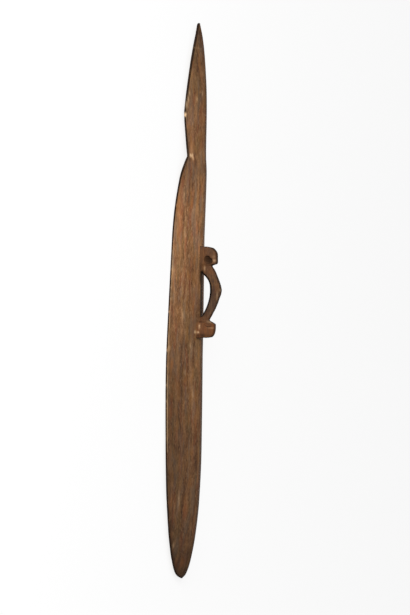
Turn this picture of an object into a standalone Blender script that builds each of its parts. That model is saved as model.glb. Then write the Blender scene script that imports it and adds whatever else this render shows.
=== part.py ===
"""Tall plank shield with a carved handle, worked from one piece of wood, lying face down.

The board is a long thin shell: a low roof along its back, a shallow hollow along its front,
a pointed leaf-shaped head, a notched neck, rounded shoulders and a tongue-shaped foot.
The handle stands on the ridge: two blocks with a bent grip between them, open underneath.
Metres, +Z up. The head points to -X, the back of the board faces +Z, and the rims lie on Z = 0.
"""

import math

import bmesh
import bpy

# The board's outline. Distances run from the tip of the head; the foot's run back from its end.
LENGTH = 1.900
TIP_HALF = 0.0065
TIP_ROUND = 0.0080
HEAD_UPPER = (0.100, 0.0640)
HEAD_MIDDLE = (0.200, 0.1003)
HEAD_CORNER = (0.315, 0.1250)
HEAD_CHEEK = (0.345, 0.1225)
NECK = (0.4620, 0.1040)
SHOULDER_STEP = (0.503, 0.1340)
SHOULDER_TURN = (0.545, 0.1515)
SHOULDER = (0.650, 0.1735)
UPPER_BODY = (0.750, 0.1818)
MIDDLE_BODY = (1.000, 0.1980)
WIDEST_FROM_FOOT = 0.660
WIDEST_HALF = 0.2060
FOOT_TAPER = 0.460
FOOT_HALF = 0.2015
FOOT_END_HALF = 0.2030
FOOT_POINT = 0.0055

# The board's section: the roof of the back, the rim it ends in, and the wood left at the ridge.
ROOF_SLOPE = 0.262
RIDGE_ROUND = 0.010
RIM_THICKNESS = 0.0058
RIM_BEVEL = 0.0012
RIM_LAND = 0.0080
RIDGE_THICKNESS = 0.0170

# The ridge's height along the board: distance from the tip of the head, height above the floor.
RIDGE_AT_TIP = 0.0185
RIDGE_NEAR_TIP = (0.050, 0.0290)
RIDGE_UPPER_HEAD = (0.120, 0.0385)
RIDGE_HEAD = (0.250, 0.0475)
RIDGE_NECK = (0.430, 0.0515)
RIDGE_YOKE = (0.510, 0.0550)
RIDGE_SHOULDER = (0.750, 0.0530)
RIDGE_MIDDLE = (1.050, 0.0575)
# These distances run back from the foot's end.
RIDGE_LOWER = (0.550, 0.0642)
RIDGE_HIGHEST = (0.380, 0.0668)
RIDGE_FOOT = (0.250, 0.0645)
RIDGE_LOW_FOOT = (0.140, 0.0565)
RIDGE_TONGUE = (0.060, 0.0445)
RIDGE_NEAR_END = (0.015, 0.0310)
RIDGE_AT_END = 0.0190

# The handle. Its lengths run along the board from the middle of the finger opening.
OPENING_AT = 0.930
OPENING_UPPER = 0.0575
OPENING_LOWER = 0.0970
CLEARANCE_AT = -0.020
CLEARANCE = 0.0328
GRIP_HALF_WIDTH = 0.0135
GRIP_ELBOW = (-0.021, 0.0715)
GRIP_UPPER_START = (-0.1000, 0.0366)
GRIP_UPPER_MIDDLE = (-0.0500, 0.0626)
GRIP_BELOW_ELBOW = (-0.001, 0.0676)
GRIP_LOWER_MIDDLE = (0.050, 0.0474)
GRIP_LOWER_END = (0.0835, 0.0289)
UPPER_BLOCK_END = -0.1668
UPPER_BLOCK_SHOULDER = (-0.1632, 0.0375)
UPPER_BLOCK_TOP = (-0.1300, 0.0549)
UPPER_BLOCK_LIP = (-0.1080, 0.0534)
UPPER_BLOCK_HALF_WIDTH = 0.0170
LOWER_BLOCK_BROW = (0.0975, 0.0512)
LOWER_BLOCK_TOP = (0.1245, 0.0494)
LOWER_BLOCK_HEEL = (0.1415, 0.0392)
LOWER_BLOCK_END = 0.1450
LOWER_BLOCK_HALF_WIDTH = 0.0180
BLOCK_END_HEIGHT = 0.0180
FOOT_FLARE_HEIGHT = 0.0200
UPPER_FOOT_FLARE = 0.0050
LOWER_FOOT_FLARE = 0.0220
BLOCK_NARROWING = 0.0010
SINK = 0.0110

# The gouged hollows on both sides of the blocks: place, height, and length, depth and height of each.
UPPER_HOLLOW_AT = -0.1180
UPPER_HOLLOW_HEIGHT = 0.0310
UPPER_HOLLOW_SIZE = (0.0320, 0.0120, 0.0230)
LOWER_HOLLOW_AT = 0.1040
LOWER_HOLLOW_HEIGHT = 0.0320
LOWER_HOLLOW_SIZE = (0.0200, 0.0100, 0.0200)

# How finely the surfaces are divided, and where the sections crowd: just inside both ends and past the neck.
BOARD_STEP = 0.040
HANDLE_STEP = 0.0055
TIP_MARKS = (0.0005, 0.0030, 0.0200)
NECK_MARKS = (0.4740, 0.4880, 0.5220)
FOOT_MARKS = (0.0600, 0.0400, 0.0260, 0.0150, 0.0070, 0.0020, 0.0004)
ACROSS = (1.0, 0.93, 0.70, 0.42, 0.18, 0.06)
RING_SIDES = 20

WOOD_COLOUR = (0.135, 0.068, 0.034, 1.0)
WOOD_ROUGHNESS = 0.62


def smooth_through(knots, place):
    """Cubic through (place, value, slope before, slope after) knots."""
    for left, right in zip(knots, knots[1:]):
        if place <= right[0] or right is knots[-1]:
            span = right[0] - left[0]
            t = min(max((place - left[0]) / span, 0.0), 1.0)
            start, end = left[3] * span, right[2] * span
            return (
                left[1] * (2 * t**3 - 3 * t**2 + 1)
                + start * (t**3 - 2 * t**2 + t)
                + right[1] * (3 * t**2 - 2 * t**3)
                + end * (t**3 - t**2)
            )
    return knots[-1][1]


def with_natural_slopes(points):
    """Knots whose slopes come from their neighbours, so that the curve never overshoots."""
    slopes = [(b[1] - a[1]) / (b[0] - a[0]) for a, b in zip(points, points[1:])]
    knots = []
    for i, (place, value) in enumerate(points):
        before = slopes[max(i - 1, 0)]
        after = slopes[min(i, len(slopes) - 1)]
        if before * after <= 0:
            slope = 0.0
        else:
            slope = 2 * before * after / (before + after)
        if i in (0, len(points) - 1):
            slope = before if i else after
        knots.append((place, value, slope, slope))
    return knots


def elliptic_end(distance, reach):
    """Share of the full width at a distance from an end that is rounded over a reach."""
    if distance >= reach:
        return 1.0
    return math.sqrt(max(0.0, 1.0 - (1.0 - distance / reach) ** 2))


OUTLINE = [
    (0.0, TIP_HALF, 0.62, 0.62),
    (*HEAD_UPPER, 0.46, 0.46),
    (*HEAD_MIDDLE, 0.31, 0.31),
    (*HEAD_CORNER, 0.14, -0.25),
    (*HEAD_CHEEK, -0.16, -0.16),
    (*NECK, -0.14, 0.95),
    (*SHOULDER_STEP, 0.60, 0.60),
    (*SHOULDER_TURN, 0.27, 0.27),
    (*SHOULDER, 0.13, 0.13),
    (*UPPER_BODY, 0.07, 0.07),
    (*MIDDLE_BODY, 0.06, 0.06),
    (LENGTH - WIDEST_FROM_FOOT, WIDEST_HALF, 0.0, 0.0),
    (LENGTH - FOOT_TAPER, FOOT_HALF, -0.03, -0.03),
    (LENGTH, FOOT_END_HALF, 0.0, 0.0),
]

RIDGE = with_natural_slopes(
    [
        (0.0, RIDGE_AT_TIP),
        RIDGE_NEAR_TIP,
        RIDGE_UPPER_HEAD,
        RIDGE_HEAD,
        RIDGE_NECK,
        RIDGE_YOKE,
        RIDGE_SHOULDER,
        RIDGE_MIDDLE,
        *[
            (LENGTH - back, height)
            for back, height in (
                RIDGE_LOWER,
                RIDGE_HIGHEST,
                RIDGE_FOOT,
                RIDGE_LOW_FOOT,
                RIDGE_TONGUE,
                RIDGE_NEAR_END,
            )
        ],
        (LENGTH, RIDGE_AT_END),
    ]
)


def half_width(distance):
    """The outline: its knots, a round tip, and a tongue that ends in a blunt point."""
    from_foot = LENGTH - distance
    tongue = elliptic_end(from_foot, FOOT_TAPER) * (1.0 - math.exp(-from_foot / FOOT_POINT))
    return smooth_through(OUTLINE, distance) * elliptic_end(distance, TIP_ROUND) * tongue


def ridge_height(distance):
    return smooth_through(RIDGE, distance)


def rim_height(distance):
    """The rim's lower side: under the roof's edge, and flat on the floor amidships."""
    eave = ridge_height(distance) - ROOF_SLOPE * half_width(distance)
    return max(0.0, eave - RIM_THICKNESS)


def roof_height(distance, y):
    """The back's height: two slopes that meet in a slightly rounded ridge."""
    half = half_width(distance)
    ridge = ridge_height(distance)
    eave = rim_height(distance) + RIM_THICKNESS
    round_off = min(RIDGE_ROUND, half)
    full_run = math.hypot(half, round_off) - round_off
    run = math.hypot(y, round_off) - round_off
    return ridge - (ridge - eave) * run / full_run


def front_height(distance, y):
    """The front's height: a flat land along the rim, and a shallow hollow inside it."""
    half = half_width(distance)
    rim = rim_height(distance)
    inner = max(half - RIM_LAND, 0.3 * half)
    middle = max(rim, ridge_height(distance) - RIDGE_THICKNESS)
    return rim + (middle - rim) * max(0.0, 1.0 - abs(y) / inner)


def board_section(distance):
    """Closed ring of points across the board, from the near rim over the back to the far rim."""
    half = half_width(distance)
    rim = rim_height(distance)
    bevel = min(RIM_BEVEL, 0.25 * half)
    eave = rim + RIM_THICKNESS
    shares = [-s for s in ACROSS] + [0.0] + list(reversed(ACROSS))
    back = [(s * (half - bevel), roof_height(distance, s * half)) for s in shares]
    far_edge = [(half, eave - bevel), (half, rim + bevel)]
    inner = max(half - RIM_LAND, 0.3 * half)
    front_ys = [half - bevel, inner, 0.5 * inner, 0.0, -0.5 * inner, -inner, bevel - half]
    front = [(y, front_height(distance, y)) for y in front_ys]
    near_edge = [(-half, rim + bevel), (-half, eave - bevel)]
    return back + far_edge + front + near_edge


def board_stations():
    """Distances of the sections: every knot of the outline, and even steps between them."""
    marks = [knot[0] for knot in OUTLINE[1:-1]] + [TIP_ROUND, *TIP_MARKS, *NECK_MARKS]
    marks += [LENGTH - back for back in FOOT_MARKS]
    marks = sorted(marks)
    stations = []
    for start, end in zip(marks, marks[1:]):
        pieces = max(1, round((end - start) / BOARD_STEP))
        stations += [start + (end - start) * i / pieces for i in range(pieces)]
    return stations + [marks[-1]]


def loft(name, rings):
    """A closed object from rings of points, all with the same number, capped at both ends."""
    mesh = bmesh.new()
    rows = [[mesh.verts.new(point) for point in ring] for ring in rings]
    count = len(rows[0])
    for row, following in zip(rows, rows[1:]):
        for i in range(count):
            j = (i + 1) % count
            mesh.faces.new((row[i], row[j], following[j], following[i]))
    mesh.faces.new(rows[0])
    mesh.faces.new(list(reversed(rows[-1])))
    bmesh.ops.recalc_face_normals(mesh, faces=mesh.faces)
    data = bpy.data.meshes.new(name)
    mesh.to_mesh(data)
    mesh.free()
    thing = bpy.data.objects.new(name, data)
    bpy.context.scene.collection.objects.link(thing)
    return thing


def make_board():
    rings = []
    for distance in board_stations():
        x = distance - LENGTH / 2
        rings.append([(x, y, z) for y, z in board_section(distance)])
    return loft("shield", rings)


HANDLE_TOP = [
    (UPPER_BLOCK_END, BLOCK_END_HEIGHT, 0.0, 7.0),
    (*UPPER_BLOCK_SHOULDER, 2.0, 1.6),
    (*UPPER_BLOCK_TOP, 0.0, 0.0),
    (*UPPER_BLOCK_LIP, -0.4, -3.2),
    (*GRIP_UPPER_START, 0.0, 0.8),
    (*GRIP_UPPER_MIDDLE, 0.42, 0.42),
    (*GRIP_ELBOW, 0.30, -0.10),
    (*GRIP_BELOW_ELBOW, -0.40, -0.40),
    (*GRIP_LOWER_MIDDLE, -0.52, -0.52),
    (*GRIP_LOWER_END, -0.60, 1.3),
    (*LOWER_BLOCK_BROW, 0.9, -0.05),
    (*LOWER_BLOCK_TOP, -0.25, -0.25),
    (*LOWER_BLOCK_HEEL, -1.2, -2.5),
    (LOWER_BLOCK_END, BLOCK_END_HEIGHT, -7.0, 0.0),
]

HANDLE_HALF_WIDTH = with_natural_slopes(
    [
        (UPPER_BLOCK_END, UPPER_BLOCK_HALF_WIDTH - BLOCK_NARROWING),
        (UPPER_BLOCK_TOP[0], UPPER_BLOCK_HALF_WIDTH),
        (UPPER_BLOCK_LIP[0], UPPER_BLOCK_HALF_WIDTH - BLOCK_NARROWING),
        (GRIP_UPPER_START[0], GRIP_HALF_WIDTH - BLOCK_NARROWING),
        (GRIP_ELBOW[0], GRIP_HALF_WIDTH),
        (GRIP_LOWER_END[0], GRIP_HALF_WIDTH - BLOCK_NARROWING),
        (LOWER_BLOCK_BROW[0], LOWER_BLOCK_HALF_WIDTH),
        (LOWER_BLOCK_END, LOWER_BLOCK_HALF_WIDTH - BLOCK_NARROWING),
    ]
)


def grip_underside(along):
    """The opening's arch, steeper at its upper end, and the block's foot beyond it."""
    offset = along - CLEARANCE_AT
    if offset < 0:
        share = (-offset / OPENING_UPPER) ** 2.4
    else:
        share = (offset / OPENING_LOWER) ** 2.0
    return max(-SINK, CLEARANCE * (1.0 - share))


def foot_flare(along):
    """How far a block's foot spreads to each side: evenly at the upper one, to a toe at the lower."""
    if along < CLEARANCE_AT:
        return UPPER_FOOT_FLARE
    share = (along - GRIP_LOWER_END[0]) / (LOWER_BLOCK_END - GRIP_LOWER_END[0])
    return LOWER_FOOT_FLARE * min(max(share, 0.0), 1.0)


def handle_section(along):
    """Closed ring across the handle: a squared oval between its underside and its top."""
    low = grip_underside(along)
    high = smooth_through(HANDLE_TOP, along)
    half = smooth_through(HANDLE_HALF_WIDTH, along)
    in_block = low <= 0.0
    squareness = 0.42 if in_block else 0.62
    ring = []
    for i in range(RING_SIDES):
        turn = 2 * math.pi * (i + 0.5) / RING_SIDES
        across = math.copysign(abs(math.cos(turn)) ** squareness, math.cos(turn))
        rise = math.copysign(abs(math.sin(turn)) ** squareness, math.sin(turn))
        height = (low + high) / 2 + (high - low) / 2 * rise
        flare = foot_flare(along) * max(0.0, 1.0 - max(height, 0.0) / FOOT_FLARE_HEIGHT) ** 2
        ring.append((across * (half + (flare if in_block else 0.0)), height))
    return ring


def handle_stations():
    marks = sorted(
        [knot[0] for knot in HANDLE_TOP]
        + [CLEARANCE_AT - OPENING_UPPER, CLEARANCE_AT + OPENING_LOWER]
    )
    stations = []
    for start, end in zip(marks, marks[1:]):
        pieces = max(1, round((end - start) / HANDLE_STEP))
        stations += [start + (end - start) * i / pieces for i in range(pieces)]
    return stations + [marks[-1]]


def make_handle():
    rings = []
    for along in handle_stations():
        distance = OPENING_AT + along
        x = distance - LENGTH / 2
        base = ridge_height(distance)
        rings.append([(x, y, base + z) for y, z in handle_section(along)])
    return loft("handle_blank", rings)


def hollow_cutter(name, along, height, size, half, side):
    """An egg-shaped cutter whose middle lies on the block's side."""
    distance = OPENING_AT + along
    mesh = bmesh.new()
    bmesh.ops.create_icosphere(mesh, subdivisions=2, radius=0.5)
    bmesh.ops.scale(mesh, vec=size, verts=mesh.verts)
    middle = (distance - LENGTH / 2, side * half, ridge_height(distance) + height)
    bmesh.ops.translate(mesh, vec=middle, verts=mesh.verts)
    data = bpy.data.meshes.new(name)
    mesh.to_mesh(data)
    mesh.free()
    cutter = bpy.data.objects.new(name, data)
    bpy.context.scene.collection.objects.link(cutter)
    return cutter


def combine(target, other, operation):
    """Applies an exact Boolean to the target's mesh and removes the other object."""
    step = target.modifiers.new("combine", "BOOLEAN")
    step.operation = operation
    step.solver = "EXACT"
    step.object = other
    seen = target.evaluated_get(bpy.context.evaluated_depsgraph_get())
    result = bpy.data.meshes.new_from_object(seen)
    target.modifiers.clear()
    old = target.data
    target.data = result
    bpy.data.meshes.remove(old)
    bpy.data.objects.remove(other, do_unlink=True)


def wood():
    material = bpy.data.materials.new("dark_wood")
    material.use_nodes = True
    shader = material.node_tree.nodes["Principled BSDF"]
    shader.inputs["Base Color"].default_value = WOOD_COLOUR
    shader.inputs["Roughness"].default_value = WOOD_ROUGHNESS
    shader.inputs["Metallic"].default_value = 0.0
    return material


def main():
    for thing in list(bpy.data.objects):
        bpy.data.objects.remove(thing, do_unlink=True)

    board = make_board()
    handle = make_handle()
    for side in (-1, 1):
        upper = hollow_cutter(
            "upper_hollow", UPPER_HOLLOW_AT, UPPER_HOLLOW_HEIGHT, UPPER_HOLLOW_SIZE,
            UPPER_BLOCK_HALF_WIDTH, side,
        )
        combine(handle, upper, "DIFFERENCE")
        lower = hollow_cutter(
            "lower_hollow", LOWER_HOLLOW_AT, LOWER_HOLLOW_HEIGHT, LOWER_HOLLOW_SIZE,
            LOWER_BLOCK_HALF_WIDTH, side,
        )
        combine(handle, lower, "DIFFERENCE")
    combine(board, handle, "UNION")

    board.data.materials.clear()
    board.data.materials.append(wood())
    board.data.shade_smooth()
    board.data.set_sharp_from_angle(angle=math.radians(35))


main()
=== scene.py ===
# %% [markdown]
# # A carved plank shield, lying face down
#
# This lesson dresses one piece: a tall wooden shield, carved with its handle from a single plank.
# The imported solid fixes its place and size. Everything below makes the surface of the real thing:
# a board with a low roof along its back, tool marks, worn rims, two gouged blocks with a bent grip,
# and old dark wood with streaks along the grain.
#
# The shield lies along X with its pointed head at -X. Its back and its handle face up, +Z. The
# picture looks down on it from -Y with the head at the top, so the camera is turned on its side.

import math

import bmesh
import bpy
import numpy as np
from mathutils import Matrix, Vector, noise
from mathutils.kdtree import KDTree


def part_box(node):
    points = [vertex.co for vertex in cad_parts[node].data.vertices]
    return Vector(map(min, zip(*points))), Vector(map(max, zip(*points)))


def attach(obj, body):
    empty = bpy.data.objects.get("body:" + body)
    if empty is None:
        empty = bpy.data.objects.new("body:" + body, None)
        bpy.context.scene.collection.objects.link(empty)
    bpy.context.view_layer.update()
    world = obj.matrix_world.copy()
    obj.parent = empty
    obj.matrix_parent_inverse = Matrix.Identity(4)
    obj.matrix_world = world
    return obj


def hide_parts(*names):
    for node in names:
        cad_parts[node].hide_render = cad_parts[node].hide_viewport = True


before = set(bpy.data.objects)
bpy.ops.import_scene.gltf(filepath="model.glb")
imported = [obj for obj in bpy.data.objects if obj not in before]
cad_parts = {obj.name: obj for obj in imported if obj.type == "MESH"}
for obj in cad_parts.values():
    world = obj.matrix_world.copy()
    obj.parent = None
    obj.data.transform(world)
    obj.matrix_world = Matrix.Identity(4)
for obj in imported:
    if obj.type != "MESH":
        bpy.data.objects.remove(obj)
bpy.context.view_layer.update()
solid_low, solid_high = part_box("shield")
length = solid_high.x - solid_low.x
print("the solid is", [round(v, 4) for v in solid_high - solid_low])

# %% [markdown]
# ## The camera
#
# A long lens far away keeps the board's sides almost parallel, as the picture shows them. The view
# is set by three measured things: how far the camera stands above the floor, how far it is turned,
# and how many pixels tall the shield is. Building the turn from its three directions is simpler
# here than three angles, because the picture's upward direction is the board's own length.

# %% Camera values and directions
PICTURE = (410, 615)
HEAD_TIP_PIXEL = Vector((198.9, 23.0))
FOOT_TIP_PIXEL = Vector((180.9, 578.3))
ELEVATION = math.radians(16.7)
DISTANCE = 9.0
TIP_HEIGHT = 0.015
SENSOR = 36.0

tip_to_tip = HEAD_TIP_PIXEL - FOOT_TIP_PIXEL
metres_per_pixel = length / tip_to_tip.length
roll = math.atan2(tip_to_tip.x, -tip_to_tip.y)
look = Vector((0, math.cos(ELEVATION), -math.sin(ELEVATION)))
level_right = Vector((0, math.sin(ELEVATION), math.cos(ELEVATION)))
level_up = Vector((-1, 0, 0))
right = math.cos(roll) * level_right + math.sin(roll) * level_up
up = math.cos(roll) * level_up - math.sin(roll) * level_right
middle_pixel = (HEAD_TIP_PIXEL + FOOT_TIP_PIXEL) / 2
off_right = (middle_pixel.x - PICTURE[0] / 2) * metres_per_pixel
off_up = (PICTURE[1] / 2 - middle_pixel.y) * metres_per_pixel
aim = Vector((0, 0, TIP_HEIGHT)) - off_right * right - off_up * up
eye = aim - DISTANCE * look
pixels_deep = DISTANCE / metres_per_pixel

camera_data = bpy.data.cameras.new("camera")
camera_data.sensor_width = SENSOR
camera_data.lens = SENSOR * pixels_deep / PICTURE[1]
camera_data.clip_end = 200.0
camera = bpy.data.objects.new("camera", camera_data)
camera.matrix_world = Matrix.Translation(eye) @ Matrix((right, up, -look)).transposed().to_4x4()
bpy.context.scene.collection.objects.link(camera)
bpy.context.scene.camera = camera
print("lens", round(camera_data.lens, 1), "mm, turned", round(math.degrees(roll), 2), "degrees")


def pixel_ray(x, y):
    """Direction from the eye through a pixel of the picture."""
    across = (x - PICTURE[0] / 2) * right + (PICTURE[1] / 2 - y) * up
    return (look * pixels_deep + across).normalized()


# %% [markdown]
# ## The board's rules
#
# The board could be a subdivided cage or a sculpted mesh, but every section across it follows one
# rule, so a few curves along its length say it all: how wide it is, how high its ridge stands and
# how high its rim. They are the same curves that the solid was made from. Each is a list of
# (distance from the head's tip, value, slope before, slope after), joined by smooth cubics.

# %% Curves along the board
TIP_ROUND = 0.0080
FOOT_TAPER = 0.460
FOOT_POINT = 0.0055
ROOF_SLOPE = 0.262
RIM_THICKNESS = 0.0058

OUTLINE = [
    (0.000, 0.0065, 0.62, 0.62),  # tip of the head
    (0.100, 0.0640, 0.46, 0.46),
    (0.200, 0.1003, 0.31, 0.31),
    (0.315, 0.1250, 0.14, -0.25),  # the head's corner
    (0.345, 0.1225, -0.16, -0.16),
    (0.462, 0.1040, -0.14, 0.95),  # the neck's notch
    (0.503, 0.1340, 0.60, 0.60),
    (0.545, 0.1515, 0.27, 0.27),
    (0.650, 0.1735, 0.13, 0.13),  # the shoulder
    (0.750, 0.1818, 0.07, 0.07),
    (1.000, 0.1980, 0.06, 0.06),
    (length - 0.660, 0.2060, 0.0, 0.0),  # the widest place
    (length - FOOT_TAPER, 0.2015, -0.03, -0.03),
    (length, 0.2030, 0.0, 0.0),  # before the foot's taper is taken off
]
RIDGE_POINTS = [
    (0.000, 0.0185), (0.050, 0.0290), (0.120, 0.0385), (0.250, 0.0475), (0.430, 0.0515),
    (0.510, 0.0550), (0.750, 0.0530), (1.050, 0.0575), (length - 0.550, 0.0642),
    (length - 0.380, 0.0668), (length - 0.250, 0.0645), (length - 0.140, 0.0565),
    (length - 0.060, 0.0445), (length - 0.015, 0.0310), (length, 0.0190),
]


def with_natural_slopes(points):
    """Knots whose slopes come from their neighbours, so that the curve never overshoots."""
    slopes = [(b[1] - a[1]) / (b[0] - a[0]) for a, b in zip(points, points[1:])]
    knots = []
    for i, (place, value) in enumerate(points):
        before, after = slopes[max(i - 1, 0)], slopes[min(i, len(slopes) - 1)]
        slope = 2 * before * after / (before + after) if before * after > 0 else 0.0
        if i in (0, len(points) - 1):
            slope = before if i else after
        knots.append((place, value, slope, slope))
    return knots


def along_curve(knots, places):
    """Values of the cubic through the knots, for an array of places."""
    table = np.array(knots)
    places = np.atleast_1d(np.asarray(places, float))
    left = np.clip(np.searchsorted(table[:, 0], places, side="left") - 1, 0, len(table) - 2)
    start, end = table[left], table[left + 1]
    span = end[:, 0] - start[:, 0]
    t = np.clip((places - start[:, 0]) / span, 0, 1)
    return (
        start[:, 1] * (2 * t**3 - 3 * t**2 + 1)
        + start[:, 3] * span * (t**3 - 2 * t**2 + t)
        + end[:, 1] * (3 * t**2 - 2 * t**3)
        + end[:, 2] * span * (t**3 - t**2)
    )


RIDGE = with_natural_slopes(RIDGE_POINTS)


def rounded_end(distances, reach):
    """Share of the full width near an end that is rounded over a reach."""
    inside = 1 - np.clip(distances / reach, 0, 1)
    return np.sqrt(np.clip(1 - inside**2, 0, 1))


def half_width(distances):
    from_foot = length - distances
    tongue = rounded_end(from_foot, FOOT_TAPER) * (1 - np.exp(-from_foot / FOOT_POINT))
    return along_curve(OUTLINE, distances) * rounded_end(distances, TIP_ROUND) * tongue


def ridge_height(distances):
    return along_curve(RIDGE, distances)


def rim_height(distances):
    eave = ridge_height(distances) - ROOF_SLOPE * half_width(distances)
    return np.maximum(0.0, eave - RIM_THICKNESS)


widest = float(half_width(np.linspace(0, length, 400)).max())
print("widest", round(2 * widest, 3), "m, and the solid says", round(solid_high.y - solid_low.y, 3))

# %% [markdown]
# ## A net of points for the board
#
# The board starts as a flat net: one row for each station along its length, and in each row one
# ring of points that goes over the back, round one rim, under the front and round the other rim.
# Each point only carries what the next step needs to know: the width, ridge and rim at its
# station, how far across it sits and which zone it is in. Rows crowd where the outline turns.

# %% Build the net
STEP = 0.0037
FINE_STEP = 0.0013
BACK_POINTS = 79
FRONT_POINTS = 37
EDGE_POINTS = 5
END_GAP = 0.0004  # from the first and last rows to the very tips
CROWDING, END_CROWDING = 0.08, 2.5  # how fast rows spread out from a turn, and from an end
BACK_ZONE, EDGE_ZONE, FRONT_ZONE = 0.0, 1.0, 2.0
NECK_AT = 0.462
CORNER_AT = 0.315


def station_list():
    """Distances from the tip, close together at both tips, the corner and the neck."""
    stations = [END_GAP]
    while stations[-1] < length - END_GAP:
        here = stations[-1]
        to_end = min(here / END_CROWDING, (length - here) / END_CROWDING)
        to_turn = min(to_end, abs(here - NECK_AT), abs(here - CORNER_AT))
        stations.append(here + min(STEP, FINE_STEP + CROWDING * to_turn))
    stations[-1] = length - END_GAP
    return np.array(stations)


def shares_across(count, zone, side):
    """Points from one rim to the other, a little closer together towards the rims."""
    even = np.linspace(-side, side, count)
    return [(share, zone, 0.0) for share in 1.2 * even - 0.2 * even**3]


def ring_list():
    """(share across, zone, turn round the rim) of each point of a ring."""
    turns = np.linspace(0, math.pi, EDGE_POINTS + 2)[1:-1]
    ring = shares_across(BACK_POINTS, BACK_ZONE, 1) + [(1.0, EDGE_ZONE, t) for t in turns]
    ring += shares_across(FRONT_POINTS, FRONT_ZONE, -1)
    return np.array(ring + [(-1.0, EDGE_ZONE, t) for t in reversed(turns)])


stations = station_list()
ring = ring_list()
rows, across = len(stations), len(ring)
first = np.arange(rows - 1)[:, None] * across + np.arange(across)[None, :]
beside = np.arange(rows - 1)[:, None] * across + (np.arange(across)[None, :] + 1) % across
quads = np.stack([first, beside, beside + across, first + across], -1).reshape(-1, 4)
caps = [tuple(range(across))[::-1], tuple(range((rows - 1) * across, rows * across))]
net = bpy.data.meshes.new("board_net")
net.from_pydata(
    [(d - length / 2, s, 0) for d in stations for s in ring[:, 0]], [], quads.tolist() + caps
)
carried = {
    "half": np.repeat(half_width(stations), across),
    "ridge": np.repeat(ridge_height(stations), across),
    "rim": np.repeat(rim_height(stations), across),
    "share": np.tile(ring[:, 0], rows),
    "zone": np.tile(ring[:, 1], rows),
    "turn": np.tile(ring[:, 2], rows),
}
for name, values in carried.items():
    net.attributes.new(name, "FLOAT", "POINT").data.foreach_set("value", values.astype(np.float32))
print(rows, "stations of", across, "points")

# %% [markdown]
# ## The wood
#
# The plank is old, dark and rubbed. Its colour runs in streaks along the grain, some reddish, some
# olive or grey, with fine pores and pale dust. A picture of wood could be wrapped round the mesh,
# but noise needs no unwrapping, never repeats and is easy to tune, and stretched along X it gives
# just such streaks. The material comes before the pieces, because the node tree that shapes the
# board also hands it its material. These helpers keep its long tree readable.

# %% Helpers for shader trees
def colour(text):
    """Linear colour of a hexadecimal sRGB one."""
    parts = [int(text[i : i + 2], 16) / 255 for i in (0, 2, 4)]
    return (*[p / 12.92 if p <= 0.04045 else ((p + 0.055) / 1.055) ** 2.4 for p in parts], 1.0)


def put(tree, socket, value):
    """Joins a socket to another one, or sets its value."""
    if isinstance(value, bpy.types.NodeSocket):
        tree.links.new(value, socket)
    else:
        socket.default_value = value


def maths(tree, operation, *values, clamp=False):
    node = tree.nodes.new("ShaderNodeMath")
    node.operation = operation
    node.use_clamp = clamp
    for socket, value in zip(node.inputs, values):
        put(tree, socket, value)
    return node.outputs[0]


def blended(tree, share, first_colour, second_colour, kind="MIX"):
    node = tree.nodes.new("ShaderNodeMix")
    node.data_type = "RGBA"
    node.blend_type = kind
    put(tree, node.inputs["Factor"], share)
    put(tree, node.inputs["A"], first_colour)
    put(tree, node.inputs["B"], second_colour)
    return node.outputs["Result"]


def eased(tree, value, low, high, to_low=0.0, to_high=1.0):
    """Maps low..high to to_low..to_high with soft ends."""
    node = tree.nodes.new("ShaderNodeMapRange")
    node.interpolation_type = "SMOOTHSTEP"
    put(tree, node.inputs["Value"], value)
    for name, number in zip(("From Min", "From Max", "To Min", "To Max"), (low, high, to_low, to_high)):
        node.inputs[name].default_value = number
    return node.outputs["Result"]


def streaks(tree, place, long, wide, detail=2.0, shift=0.0):
    """Noise whose patches are long along X and wide across it, in metres."""
    stretch = tree.nodes.new("ShaderNodeMapping")
    stretch.inputs["Location"].default_value = (shift, shift, shift)
    stretch.inputs["Scale"].default_value = (1 / long, 1 / wide, 1 / wide)
    tree.links.new(place, stretch.inputs["Vector"])
    cloud = tree.nodes.new("ShaderNodeTexNoise")
    cloud.inputs["Scale"].default_value = 1.0
    cloud.inputs["Detail"].default_value = detail
    tree.links.new(stretch.outputs["Vector"], cloud.inputs["Vector"])
    return cloud.outputs["Fac"]


def weighted(tree, layer, weights):
    """Sum of layers, each times its weight."""
    total = 0.0
    for name, weight in weights.items():
        total = maths(tree, "MULTIPLY_ADD", layer[name], weight, total)
    return total


def named(tree, name):
    """An attribute that the finished mesh carries."""
    node = tree.nodes.new("ShaderNodeAttribute")
    node.attribute_name = name
    return node.outputs["Fac"]


def grey_of(tree, value):
    """A colour whose three parts are one value."""
    node = tree.nodes.new("ShaderNodeCombineColor")
    for name in ("Red", "Green", "Blue"):
        tree.links.new(value, node.inputs[name])
    return node.outputs[0]


print("the darkest wood in linear light:", [round(part, 4) for part in colour("1d1108")])

# %% [markdown]
# Each colour is named for what it stands for on the real shield. Each layer of noise says how long
# its patches are along the grain and how wide across it, in metres, how many octaves it has, and
# how far it is shifted, so that no two layers share a pattern. The stains are laid over the plain
# wood one after another. A colour ramp could do this too, but a list of mixes is easier to reorder.

# %% Colours and layers of the wood
DARK_STREAK = colour("432a1a")
MIDDLE_STREAK = colour("69482e")
PALE_STREAK = colour("8c6644")
RED_TINT = colour("743f28")
OLIVE_TINT = colour("5f4b2c")
GREY_TINT = colour("675547")
OCHRE_TINT = colour("8f6030")
DUST_TINT = colour("967455")
WARM_BROWN = colour("8c542c")
BLACKENED_AND_SHADE = colour("1d1108")
DEEP_SHADE = colour("070403")
BARE_WOOD_AND_HIGHLIGHT = colour("dcb88e")
GRIP_TINT = colour("35261d")

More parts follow.
